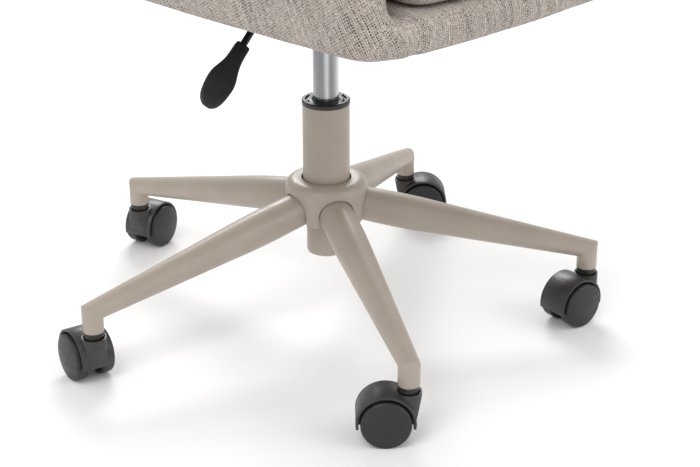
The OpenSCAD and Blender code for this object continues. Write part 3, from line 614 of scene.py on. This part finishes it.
def wall_path():
    """Outer edge of the seat's foot from the middle of the back to the middle of the front, on the +X side,
    with the outward direction and the wall's top at each point."""
    reach = HALF_W - CORNER_R
    points = [(HALF_W * math.sin(a), ARM_BACK + (BACK_DEPTH - ARM_BACK) * math.cos(a))
              for a in (math.pi / 2 * k / 240 for k in range(240))]
    straight = RAIL_FRONT - CORNER_R + ARM_BACK
    points += [(HALF_W, ARM_BACK - straight * k / 150) for k in range(150)]
    points += [(reach + CORNER_R * math.cos(a), -RAIL_FRONT + CORNER_R - CORNER_R * math.sin(a))
               for a in (math.pi / 2 * k / 60 for k in range(60))]
    points += [(reach * (1 - k / 40), -RAIL_FRONT) for k in range(41)]
    path = np.array(points)
    step = np.gradient(path, axis=0)
    out = np.stack([-step[:, 1], step[:, 0]], 1)
    out /= np.linalg.norm(out, axis=1, keepdims=True)
    tops = []
    for x, y in points:
        if y > ARM_BACK:
            tops.append(wall_top(0, math.acos(max(-1, min(1, -x / HALF_W))) / math.pi))
        else:
            tops.append(wall_top(1, min(1, max(0, (y + ARM_FRONT) / (ARM_BACK + ARM_FRONT)))))
    length = np.concatenate([[0], np.cumsum(np.linalg.norm(np.diff(path, axis=0), axis=1))])
    return path, out, np.array(tops), length


def nearest_on(path, places):
    """Index of the nearest path point to each place, both in plan."""
    tree = kdtree.KDTree(len(path))
    for k, point in enumerate(path):
        tree.insert((*point, 0), k)
    tree.balance()
    rounded = np.round(places, 5)
    unique, back = np.unique(rounded, axis=0, return_inverse=True)
    found = np.array([tree.find((*place, 0))[1] for place in unique])
    return found[back.ravel()]


def wall_chart(points, centres, normals):
    """Cloth panels: rows on the outside lean forward as they come down, those inside and on the rail stand
    upright. Panels meet along the wall's ridge and at the two front seams."""
    path, out, tops, length = wall_path()
    side = np.where(centres[:, 0] < 0, -1.0, 1.0)
    plan = np.stack([points[:, 0] * side, points[:, 1]], 1)
    z = points[:, 2]
    near = nearest_on(path, plan)
    rel = plan - path[near]
    away = (rel * out[near]).sum(1) + WALL_T / 2 - LEAN * (z - FOOT_Z) / (BACK_Z - FOOT_Z)
    tangent = np.stack([out[near][:, 1], -out[near][:, 0]], 1)
    travelled = length[near] + (rel * tangent).sum(1)
    inner = is_inner(centres, path, out)
    arm = inner & (points[:, 1] < ARM_BACK)
    travelled = np.where(arm, length[240] + ARM_BACK - points[:, 1], travelled)
    spring = tops[near] - WALL_T / 2
    over = np.clip(z - spring, 0, None)
    turn = np.arctan2(over, away)
    climb = np.where(z < spring, np.where(away > 0, z, 2 * spring + WALL_T / 2 * math.pi - z),
                     spring + WALL_T / 2 * turn)
    slant = np.where(inner, 0.0, 0.62 * np.clip(travelled / length[-1], 0, 1))
    u = side * (travelled + slant * (climb - FOOT_Z)) + 3.0
    v = climb * 1.03
    rail = on_rail(centres)
    flat = np.abs(normals[:, 2]) > 0.75
    u = np.where(rail, points[:, 0] + 0.4 + 0.12 * (z - FOOT_Z), u)
    v = np.where(rail, np.where(flat, points[:, 1] * np.where(normals[:, 2] > 0, 1, -1) + 0.7, z), v)
    return np.stack([u, v], 1)


def is_inner(centres, path, out):
    side = np.where(centres[:, 0] < 0, -1.0, 1.0)
    plan = np.stack([centres[:, 0] * side, centres[:, 1]], 1)
    near = nearest_on(path, plan)
    away = ((plan - path[near]) * out[near]).sum(1) + WALL_T / 2
    return away < LEAN * (centres[:, 2] - FOOT_Z) / (BACK_Z - FOOT_Z)


def on_rail(points):
    """True where the cloth belongs to the front rail: between the seams at the two front corners."""
    seam_x = 0.200 + (points[:, 2] - FOOT_Z) * 0.55
    inside = np.abs(points[:, 0]) < seam_x
    return inside & (points[:, 2] < RAIL_Z + 0.006) & (points[:, 1] < -0.15)


def smooth_line(corners, gap=0.002):
    """Evenly spaced points on a curve through the corners, rounded by averaging."""
    line = []
    for a, b in zip(corners, corners[1:]):
        a, b = Vector(a), Vector(b)
        steps = max(1, int((b - a).length / gap))
        line += [a.lerp(b, k / steps) for k in range(steps)]
    line.append(Vector(corners[-1]))
    for _ in range(6):
        line = [line[0]] + [(a + b * 2 + c) / 4 for a, b, c in zip(line, line[1:], line[2:])] + [line[-1]]
    return line


def mirrored(line):
    return [Vector((-p.x, p.y, p.z)) for p in line]


def tub_seams():
    """Front seams beside the rail, the ridge seam, and two upright seams down the outside of the back."""
    corner = smooth_line([(-0.192, -0.294, FOOT_Z), (-0.199, -0.299, 0.425), (-0.206, -0.297, 0.440),
                          (-0.202, -0.286, 0.447), (-0.1955, -0.270, 0.446), (-0.194, -0.245, RAIL_Z),
                          (-0.194, -0.150, RAIL_Z)])
    ridge = [wall_point(kind, along, 0, wall_top(kind, along, cap), cap)
             for kind, along, cap in wall_stations(60, 260, [0.995, 0.8, 0.4, 0])]
    front = [wall_point(-1, 0, 0, z, 0.98) for z in np.linspace(RAIL_Z + 0.012, ridge[0].z - 0.012, 60)]
    backs = []
    for along in (0.2, 0.8):
        lift = wall_top(0, along) - WALL_T / 2 - FOOT_Z
        backs.append([wall_point(0, along, WALL_T / 2, FOOT_Z + 0.006 + lift * k / 150) for k in range(151)])
    return {"corner": [corner, mirrored(corner)], "ridge": [front + ridge + mirrored(front)[::-1]], "back": backs}


def press_seams(obj, lines, depth, width):
    """Sinks the surface along the lines, as a sewn seam does in padding."""
    spots = [p for line in lines for p in line]
    tree = kdtree.KDTree(len(spots))
    for k, p in enumerate(spots):
        tree.insert(p, k)
    tree.balance()
    points = points_of(obj)
    normals = np.zeros(len(points) * 3)
    obj.data.vertices.foreach_get("normal", normals)
    gaps = np.array([tree.find(p)[2] for p in points])
    sink = depth * np.exp(-(gaps / width) ** 2)
    set_points(obj, points - normals.reshape(-1, 3) * sink[:, None])


def snap(line, obj, lift):
    """The line laid on the object's surface, standing proud by lift."""
    surface = BVHTree.FromPolygons([v.co for v in obj.data.vertices], [p.vertices for p in obj.data.polygons])
    snapped = []
    for point in line:
        place, normal, _, gap = surface.find_nearest(point)
        if place is not None and gap < 0.02:
            snapped.append((place + normal * lift, normal))
    return snapped


def beside(snapped, gap):
    """A line running beside a snapped one, gap to its right."""
    line = []
    for k, (place, normal) in enumerate(snapped):
        ahead = snapped[min(k + 1, len(snapped) - 1)][0] - snapped[max(k - 1, 0)][0]
        line.append(place + ahead.cross(normal).normalized() * gap)
    return line


def row_tree(name, shape):
    """Geometry Nodes: copies of a small shape spaced evenly along a curve, each turned along it."""
    tree = bpy.data.node_groups.new(name, "GeometryNodeTree")
    face = tree.interface
    face.new_socket("Curve", in_out="INPUT", socket_type="NodeSocketGeometry")
    sockets = {key: face.new_socket(key, in_out="INPUT", socket_type="NodeSocketFloat")
               for key in ("Pitch", "Length", "Thickness")}
    sockets["Finish"] = face.new_socket("Finish", in_out="INPUT", socket_type="NodeSocketMaterial")
    face.new_socket("Row", in_out="OUTPUT", socket_type="NodeSocketGeometry")
    node = tree.nodes.new
    link = tree.links.new
    start, end = node("NodeGroupInput"), node("NodeGroupOutput")
    spread = node("GeometryNodeResampleCurve")
    spread.mode = "LENGTH"
    link(start.outputs["Curve"], spread.inputs["Curve"])
    link(start.outputs["Pitch"], spread.inputs["Length"])
    turn = node("FunctionNodeAlignRotationToVector")
    turn.axis = "X"
    link(node("GeometryNodeInputTangent").outputs[0], turn.inputs["Vector"])
    scale = node("ShaderNodeCombineXYZ")
    link(start.outputs["Length"], scale.inputs[0])
    link(start.outputs["Thickness"], scale.inputs[1])
    link(start.outputs["Thickness"], scale.inputs[2])
    if shape == "bead":
        small = node("GeometryNodeMeshUVSphere")
        small.inputs["Segments"].default_value = 8
        small.inputs["Rings"].default_value = 6
        small.inputs["Radius"].default_value = 0.5
    else:
        small = node("GeometryNodeMeshCube")
    place = node("GeometryNodeInstanceOnPoints")
    link(spread.outputs[0], place.inputs["Points"])
    link(small.outputs["Mesh"], place.inputs["Instance"])
    link(turn.outputs[0], place.inputs["Rotation"])
    link(scale.outputs[0], place.inputs["Scale"])
    whole = node("GeometryNodeRealizeInstances")
    paint = node("GeometryNodeSetMaterial")
    link(place.outputs[0], whole.inputs[0])
    link(whole.outputs[0], paint.inputs["Geometry"])
    link(start.outputs["Finish"], paint.inputs["Material"])
    link(paint.outputs[0], end.inputs[0])
    return tree, sockets


def sew(name, lines, tree, pitch, length, thick, material):
    """A mesh of stitches, or other small pieces, along all the lines."""
    curve = bpy.data.curves.new(name, "CURVE")
    curve.dimensions = "3D"
    for line in lines:
        spline = curve.splines.new("POLY")
        spline.points.add(len(line) - 1)
        for spot, place in zip(spline.points, line):
            spot.co = (*place, 1)
    row = bpy.data.objects.new(name, curve)
    scene.collection.objects.link(row)
    modifier = row.modifiers.new("row", "NODES")
    modifier.node_group, sockets = tree
    for key, value in (("Pitch", pitch), ("Length", length), ("Thickness", thick), ("Finish", material)):
        modifier[sockets[key].identifier] = value
    graph = bpy.context.evaluated_depsgraph_get()
    mesh = bpy.data.meshes.new_from_object(row.evaluated_get(graph))
    bpy.data.objects.remove(row)
    sewn = bpy.data.objects.new(name, mesh)
    scene.collection.objects.link(sewn)
    shade_smooth(sewn)
    return sewn


STITCH_TREE = row_tree("stitch_row", "bead")
STAPLE_TREE = row_tree("staple_row", "bar")


def sagged(points):
    """The points with the padding hanging and swelling a little along the foot's front and side edges."""
    x, y, z = points.T
    front = np.clip((-y - 0.22) / 0.05, 0, 1) * np.clip(1 - (x / 0.215) ** 2, 0, 1)
    side = np.clip((np.abs(x) - 0.18) / 0.04, 0, 1) * np.clip(1 - ((y + 0.09) / 0.2) ** 2, 0, 1)
    low = np.exp(-((z - FOOT_Z) / 0.024) ** 2)
    swell = np.exp(-((z - FOOT_Z - 0.012) / 0.022) ** 2)
    drop = low * (FRONT_DROP * front + SIDE_DROP * side)
    return np.stack([x, y - FRONT_SWELL * front * swell, z - drop], 1)


def make_tub():
    """The cover of the wall, foot and front rail in one skin, with its pressed seams and rows of stitches."""
    tub = merge([tub_wall(), seat_foot()], "tub_cover")
    remesh(tub, 0.0039)
    soften(tub, 8, 0.6)
    points = points_of(tub)
    ripple = np.array([noise.noise(Vector(p) * 22) * 0.0006 + noise.noise(Vector(p) * 7) * 0.0012
                       for p in points])
    normals = np.zeros(len(points) * 3)
    tub.data.vertices.foreach_get("normal", normals)
    set_points(tub, sagged(points + normals.reshape(-1, 3) * ripple[:, None]))
    seams = tub_seams()
    press_seams(tub, seams["corner"], 0.0032, 0.006)
    folds = [[p for p in line if p.z > RAIL_Z - 0.006] for line in seams["corner"]]
    press_seams(tub, folds, 0.0045, 0.006)
    press_seams(tub, seams["ridge"] + seams["back"], 0.0022, 0.0042)
    lay_out(tub, wall_chart)
    tub.data.materials.append(TUB_CLOTH)
    shade_smooth(tub)
    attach(tub, "seat")
    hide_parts("tub_upholstery", "seat_rail")
    rows = []
    for line in seams["ridge"] + seams["back"]:
        laid = snap(line, tub, 0.0001)
        rows += [beside(laid, 0.006), beside(laid, -0.006)]
    rows = [[place for place, _ in snap(row, tub, 0.0002)] for row in rows]
    thread = sew("tub_stitches", rows, STITCH_TREE, 0.0055, 0.0038, 0.0009, THREAD)
    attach(thread, "seat")


make_tub()

# ---------------------------------------------------------------- cushion


def cushion_outline(inset):
    """The cushion in plan, shrunk by inset: its front corners are set back and its front edge is bowed."""
    low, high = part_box("seat_cushion")
    corner, bow, set_back = 0.018, 0.018, 0.014
    half_x = high.x - inset
    front, back = -low.y - inset - set_back, high.y - inset
    outline = rounded_outline(half_x, front, back, corner - inset * 0.3)
    (x0, y0), (x1, _) = outline[10:12]
    outline[11:11] = [(x0 + (x1 - x0) * k / 20, y0) for k in range(1, 20)]
    return [(x, y - bow * (1 - (x / half_x) ** 2) if y < 0.5 * low.y else y) for x, y in outline]


def make_cushion():
    """Crowned cushion with a tight lower edge and a soft upper one, hanging over the rail's rounded edge."""
    low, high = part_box("seat_cushion")
    under, over, side_gap, rest_gap = 0.013, 0.034, 0.001, 0.0015
    bottom, top = low.z + 0.001, high.z - 0.008
    loops = []
    for k in range(9):
        turn = math.radians(90 * k / 8)
        loops.append((under * 0.5 * (1 - math.sin(turn)) + side_gap, bottom + under * (1 - math.cos(turn))))
    for k in range(9):
        turn = math.radians(90 * k / 8)
        loops.append((over * 0.75 * (1 - math.cos(turn)) + side_gap, top - over * (1 - math.sin(turn))))
    rings = [[Vector((x, y, z)) for x, y in cushion_outline(inset)] for inset, z in loops]
    cushion = skin("seat_cushion_cover", rings)
    remesh(cushion, 0.006)
    start = points_of(cushion)
    inflate(cushion, start, 0.010)
    points = points_of(cushion)
    middle = 0.5 * (low.z + high.z)
    across = np.clip(1 - (points[:, 0] / high.x) ** 2, 0, 1)
    length = np.clip(1 - ((points[:, 1] - 0.5 * (low.y + high.y)) / (0.5 * (high.y - low.y))) ** 2, 0, 1)
    crown = 0.010 * np.sqrt(across * length)
    points[:, 2] += np.where(points[:, 2] > middle, crown, 0)
    hang = np.clip((-points[:, 1] - 0.27) / 0.03, 0, 1) * across
    points[:, 2] -= 0.009 * hang * np.exp(-((points[:, 2] - bottom) / 0.03) ** 2)
    lip = np.clip(-points[:, 1] - RAIL_FRONT + 0.012, 0, 0.99 * RAIL_EDGE_R)
    dip = RAIL_EDGE_R - np.sqrt(RAIL_EDGE_R ** 2 - lip ** 2)
    points[:, 2] = np.maximum(points[:, 2], RAIL_Z + rest_gap - 0.8 * dip)
    set_points(cushion, points)
    soften(cushion, 4)
    finer = cushion.modifiers.new("finer", "SUBSURF")
    finer.levels = finer.render_levels = 1
    apply_modifiers(cushion)
    lay_out(cushion, cushion_chart)
    cushion.data.materials.append(CUSHION_CLOTH)
    shade_smooth(cushion)
    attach(cushion, "seat")
    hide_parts("seat_cushion")


def inflate(obj, start, cap):
    """Swells the pad with a cloth simulation; no point moves further than cap."""
    cloth = obj.modifiers.new("cloth", "CLOTH")
    settings = cloth.settings
    settings.use_pressure = True
    settings.uniform_pressure_force = 4
    settings.effector_weights.gravity = 0
    settings.quality = 5
    cloth.point_cache.frame_start = 1
    cloth.point_cache.frame_end = 20
    for step in range(1, 21):
        scene.frame_set(step)
    graph = bpy.context.evaluated_depsgraph_get()
    mesh = bpy.data.meshes.new_from_object(obj.evaluated_get(graph))
    obj.modifiers.clear()
    obj.data = mesh
    scene.frame_set(1)
    moved = points_of(obj) - start
    reach = np.linalg.norm(moved, axis=1, keepdims=True)
    set_points(obj, start + moved * np.minimum(1, cap / np.maximum(reach, 1e-9)))


def cushion_chart(points, centres, normals):
    """Cloth laid flat on each face of the cushion, with its rows a little aslant."""
    side = np.abs(normals[:, 0]) > np.maximum(np.abs(normals[:, 1]), np.abs(normals[:, 2]))
    front = (np.abs(normals[:, 1]) > np.abs(normals[:, 2])) & ~side
    u = np.where(side, points[:, 1], points[:, 0]) + 1.3
    v = np.where(side | front, points[:, 2], points[:, 1]) + 0.4
    return np.stack([u + 0.25 * v, v], 1)


make_cushion()


def make_staples():
    """Staples that hold the lining to the board, with their crowns along its edge."""
    low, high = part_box("dust_cover")
    inset = 0.009
    half_x = high.x - inset
    front = [(-half_x, low.y + inset), (half_x, low.y + inset)]
    arc = [(half_x * math.cos(a), ARM_BACK + (high.y - inset - ARM_BACK) * math.sin(a))
           for a in (math.pi * k / 60 for k in range(61))]
    outline = [Vector((x, y, low.z)) for x, y in front[1:] + arc + front]
    staples = sew("lining_staples", [outline], STAPLE_TREE, 0.034, 0.010, 0.0012, ZINC)
    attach(staples, "seat")


make_staples()

# ---------------------------------------------------------------- height lever

LEVER_TURN = math.radians(15)
LEVER_SLOPE = math.radians(31)
ROD_R = 0.0036


def lever_place(x, y, z):
    """From the lever's own frame, handle towards -X, to the chair's."""
    return Matrix.Rotation(LEVER_TURN, 3, "Z") @ Vector((x, y, z))


def lever_points():
    inner_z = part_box("release_pin")[1].z + 0.3 * MM + ROD_R / math.cos(math.radians(4)) \
        + 0.004 * math.tan(math.radians(4))
    bend = Vector((-0.110, 0, inner_z - 0.110 * math.tan(math.radians(4))))
    tip_x = -0.231
    neck_x = tip_x + 0.078 * math.cos(LEVER_SLOPE)
    neck = Vector((neck_x, 0, bend.z + (neck_x - bend.x) * math.tan(LEVER_SLOPE)))
    return Vector((0.008, 0, inner_z + 0.008 * math.tan(math.radians(4)))), bend, neck


def make_lever_rod():
    inner, bend, neck = lever_points()
    outward_dir = (neck - bend).normalized()
    end = neck + outward_dir * 0.019
    trim = 0.014
    path = [inner, inner.lerp(bend, 0.5)]
    start = bend + (inner - bend).normalized() * trim
    finish = bend + outward_dir * trim
    for k in range(9):
        t = k / 8
        path.append(start * (1 - t) ** 2 + bend * 2 * t * (1 - t) + finish * t * t)
    path += [finish.lerp(end, 0.5), end]
    rings = []
    for k, point in enumerate(path):
        ahead = path[min(k + 1, len(path) - 1)] - path[max(k - 1, 0)]
        ahead.normalize()
        side = Vector((0, 1, 0))
        up = ahead.cross(side)
        radius = ROD_R
        rings.append([lever_place(*(point + (side * math.cos(a) + up * math.sin(a)) * radius))
                      for a in (2 * math.pi * j / 20 for j in range(20))])
    rod = skin("lever_wire", rings, BLACK_COAT)
    smooth_by_angle(rod)
    apply_modifiers(rod)
    eye = lever_eye()
    for piece in (rod, eye):
        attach(piece, "lever")
    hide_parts("lever_rod")


def lever_eye():
    """Pressed eye that the rod turns on, bored for the pin."""
    pivot_x = 0.030
    inner, bend, neck = lever_points()
    pivot_z = inner.z - (0.008 + pivot_x) * math.tan(math.radians(4))
    section = [(0.00305, -0.006), (0.0064, -0.006), (0.007, -0.0054), (0.007, 0.0054), (0.0064, 0.006),
               (0.00305, 0.006)]
    turns = 36
    rings = []
    for k in range(turns):
        a = 2 * math.pi * k / turns
        rings.append([lever_place(-pivot_x + r * math.cos(a), y, pivot_z + r * math.sin(a))
                      for r, y in section])
    vertices = [p for ring in rings for p in ring]
    count = len(section)
    faces = [(i * count + j, i * count + (j + 1) % count,
              ((i + 1) % turns) * count + (j + 1) % count, ((i + 1) % turns) * count + j)
             for i in range(turns) for j in range(count)]
    eye = new_object("lever_eye", vertices, faces, BLACK_COAT)
    outward(eye)
    smooth_by_angle(eye)
    apply_modifiers(eye)
    return eye


def make_handle():
    """Paddle: square neck that flares to a broad blade with a round end."""
    inner, bend, neck = lever_points()
    along = Vector((-math.cos(LEVER_SLOPE), 0, -math.sin(LEVER_SLOPE)))
    roll = math.radians(HANDLE_ROLL)
    flat = Vector((0, 1, 0))
    thick = along.cross(flat)
    wide = flat * math.cos(roll) + thick * math.sin(roll)
    up = along.cross(wide)
    length = 0.078
    shape = [(0.0, 0.0072), (0.012, 0.0074), (0.20, 0.0076), (0.32, 0.0092), (0.44, 0.0122), (0.53, 0.0140),
             (0.62, 0.0141), (0.74, 0.0134), (0.84, 0.0121), (0.91, 0.0100), (0.96, 0.0073), (0.99, 0.0038)]
    rings = []
    for share, half_w in shape:
        swell = 0.0046 + 0.0022 * smooth_step(1 - share / 0.35)
        taper = min(1.0, math.sqrt(max(0.02, (1.0 - share) / 0.06)))
        half_t = swell * (0.62 if share > 0.4 else 0.62 + 0.38 * smooth_step((0.4 - share) / 0.3)) * taper
        bevel = min(0.0016, half_t * 0.45)
        corners = []
        for sx, sy in ((1, 1), (-1, 1), (-1, -1), (1, -1)):
            pair = [(sx * half_w, sy * (half_t - bevel)), (sx * (half_w - bevel * 1.4), sy * half_t)]
            corners += pair if sx * sy > 0 else pair[::-1]
        rings.append([lever_place(*(neck + along * (share * length) + wide * a + up * b)) for a, b in corners])
    handle = skin("lever_paddle", rings, PADDLE)
    finer = handle.modifiers.new("finer", "SUBSURF")
    finer.levels = finer.render_levels = 3
    crease_ends(handle, 0.35)
    apply_modifiers(handle)
    shade_smooth(handle)
    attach(handle, "lever")
    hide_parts("lever_handle")


def crease_ends(obj, sharp):
    """Firms the edges between faces that meet at more than 40 degrees."""
    edit = bmesh.new()
    edit.from_mesh(obj.data)
    layer = edit.edges.layers.float.new("crease_edge")
    for edge in edit.edges:
        if len(edge.link_faces) == 2 and edge.calc_face_angle(0) > math.radians(40):
            edge[layer] = sharp
    edit.to_mesh(obj.data)
    edit.free()


HANDLE_ROLL = -45
make_lever_rod()
make_handle()
